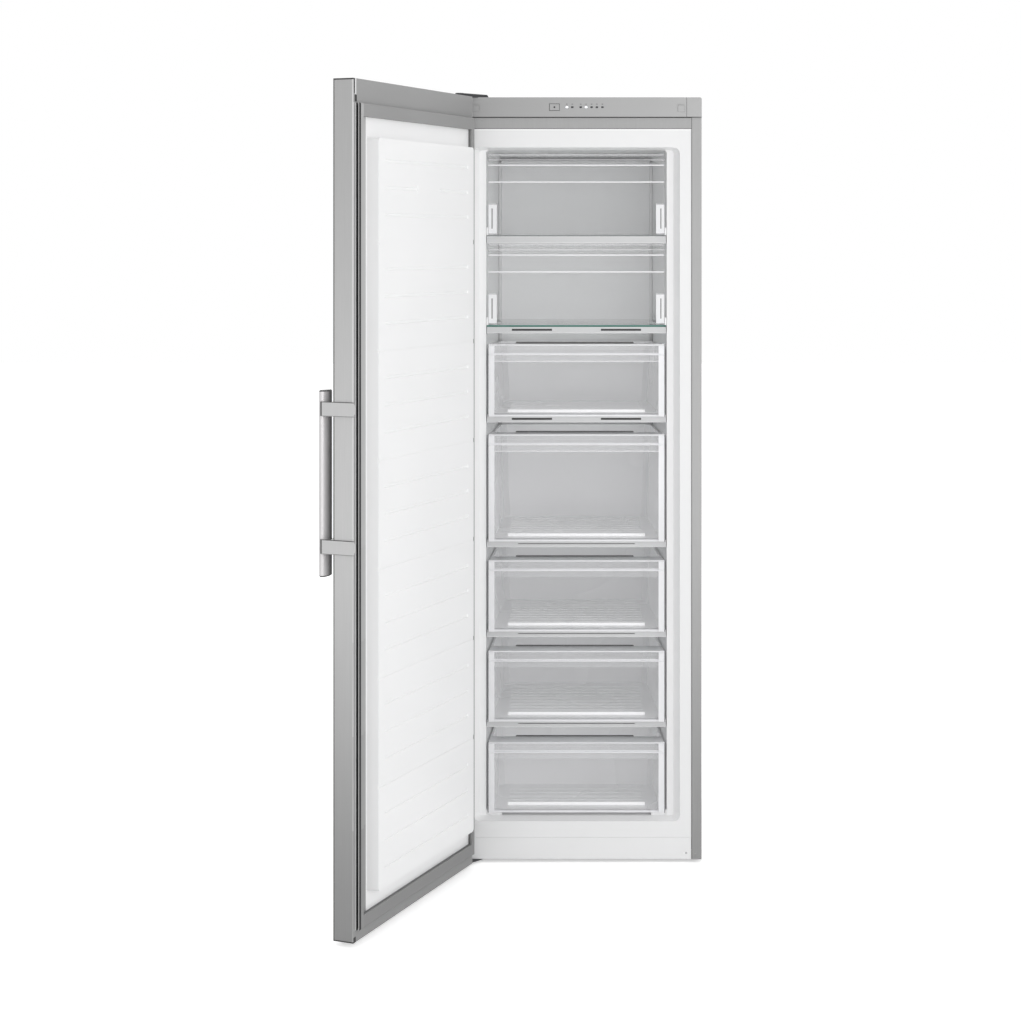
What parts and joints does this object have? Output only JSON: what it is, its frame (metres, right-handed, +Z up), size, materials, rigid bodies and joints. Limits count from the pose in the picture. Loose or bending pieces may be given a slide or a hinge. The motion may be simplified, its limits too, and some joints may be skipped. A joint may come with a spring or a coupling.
{
  "type": "upright freezer",
  "caption": "Tall silver upright freezer, left-hinged door standing open with a bar handle and ribbed white lining, clear flaps and drawers on glass shelves.",
  "frame": {"origin": "on the floor, under the middle of the bounding box of the whole freezer with its door standing open", "axes": "+X to the viewer's right along the cabinet's front, +Y into the cabinet, +Z up; the front faces -Y and the open door stands out on the left towards -Y"},
  "size_m": [0.8573, 1.1822, 1.8575],
  "materials": {
    "silver_steel": "satin",
    "zinc_steel": "satin",
    "dark_steel": "satin",
    "silver_plastic": "satin",
    "white_lining": "satin",
    "white_trim": "satin",
    "clear_plastic": "gloss",
    "shelf_glass": "gloss",
    "foam": "matte",
    "seal_rubber": "matte",
    "black_rubber": "matte",
    "bar_metal": "satin",
    "black_plastic": "matte",
    "grey_plastic": "matte",
    "coil_metal": "satin",
    "board": "matte",
    "light_guide": "gloss"
  },
  "bodies": {
    "cabinet": {"back_panel": "zinc_steel", "base_pan": "zinc_steel", "bottom_hinge": "dark_steel", "compressor": "dark_steel", "compressor_bushes": "black_rubber", "control_board": "board", "control_panel": "silver_plastic", "duct_cover": "white_trim", "evaporator": "coil_metal", "fan_motor": "grey_plastic", "flap_bearings": "white_trim", "front_feet": "black_plastic", "glass_shelf_1": "shelf_glass", "glass_shelf_2": "shelf_glass", "glass_shelf_3": "shelf_glass", "glass_shelf_4": "shelf_glass", "glass_shelf_5": "shelf_glass", "glass_shelf_6": "shelf_glass", "indicator_lights": "light_guide", "inner_liner": "white_lining", "insulation": "foam", "machine_tray": "zinc_steel", "plinth": "white_lining", "seal_rail": "silver_steel", "shelf_trim_1": "white_trim", "shelf_trim_2": "white_trim", "shelf_trim_3": "white_trim", "shelf_trim_4": "white_trim", "shelf_trim_5": "white_trim", "shelf_trim_6": "white_trim", "side_panel_left": "silver_steel", "side_panel_right": "silver_steel", "top_cover": "silver_steel", "top_hinge": "dark_steel", "top_hinge_cover": "black_plastic"},
    "door": {"door_skin": "silver_steel", "door_cap_top": "silver_plastic", "door_cap_bottom": "silver_plastic", "door_insulation": "foam", "door_liner": "white_lining", "door_seal": "seal_rubber", "hinge_bushes": "grey_plastic", "handle_bar": "bar_metal", "handle_brackets": "silver_plastic"},
    "drawer_1": {"drawer_1_tub": "clear_plastic", "drawer_1_front": "clear_plastic"},
    "drawer_2": {"drawer_2_tub": "clear_plastic", "drawer_2_front": "clear_plastic"},
    "drawer_3": {"drawer_3_tub": "clear_plastic", "drawer_3_front": "clear_plastic"},
    "drawer_4": {"drawer_4_tub": "clear_plastic", "drawer_4_front": "clear_plastic"},
    "drawer_5": {"drawer_5_tub": "clear_plastic", "drawer_5_front": "clear_plastic"},
    "upper_flap": {"flap_upper": "clear_plastic"},
    "lower_flap": {"flap_lower": "clear_plastic"},
    "button": {"mode_button": "silver_plastic"},
    "fan": {"fan_rotor": "black_plastic"},
    "left_roller": {"roller_left": "black_plastic"},
    "right_roller": {"roller_right": "black_plastic"}
  },
  "joints": [
    {"name": "door_hinge", "type": "hinge", "parent": "cabinet", "child": "door", "pos_m": [-0.15435, -0.03795, 0], "axis": [0, 0, -1], "range_deg": [-112.5, 7.5]},
    {"name": "drawer_1_slide", "type": "slide", "parent": "cabinet", "child": "drawer_1", "axis": [0, -1, 0], "range_m": [0, 0.28]},
    {"name": "drawer_2_slide", "type": "slide", "parent": "cabinet", "child": "drawer_2", "axis": [0, -1, 0], "range_m": [0, 0.28]},
    {"name": "drawer_3_slide", "type": "slide", "parent": "cabinet", "child": "drawer_3", "axis": [0, -1, 0], "range_m": [0, 0.28]},
    {"name": "drawer_4_slide", "type": "slide", "parent": "cabinet", "child": "drawer_4", "axis": [0, -1, 0], "range_m": [0, 0.28]},
    {"name": "drawer_5_slide", "type": "slide", "parent": "cabinet", "child": "drawer_5", "axis": [0, -1, 0], "range_m": [0, 0.15]},
    {"name": "upper_flap_hinge", "type": "hinge", "parent": "cabinet", "child": "upper_flap", "pos_m": [0.12615, 0.04055, 1.527], "axis": [1, 0, 0], "range_deg": [0, 90]},
    {"name": "lower_flap_hinge", "type": "hinge", "parent": "cabinet", "child": "lower_flap", "pos_m": [0.12615, 0.04055, 1.308], "axis": [1, 0, 0], "range_deg": [0, 90]},
    {"name": "button_press", "type": "slide", "parent": "cabinet", "child": "button", "axis": [0, 1, 0], "range_m": [0, 0.001], "stiffness_N_per_m": 300},
    {"name": "fan_spin", "type": "hinge", "parent": "cabinet", "child": "fan", "pos_m": [0.12615, 0.46925, 0.72], "axis": [0, 1, 0], "continuous": true},
    {"name": "left_roller_spin", "type": "hinge", "parent": "cabinet", "child": "left_roller", "pos_m": [-0.12385, 0.54555, 0.018], "axis": [1, 0, 0], "continuous": true},
    {"name": "right_roller_spin", "type": "hinge", "parent": "cabinet", "child": "right_roller", "pos_m": [0.38615, 0.54555, 0.018], "axis": [1, 0, 0], "continuous": true}
  ]
}
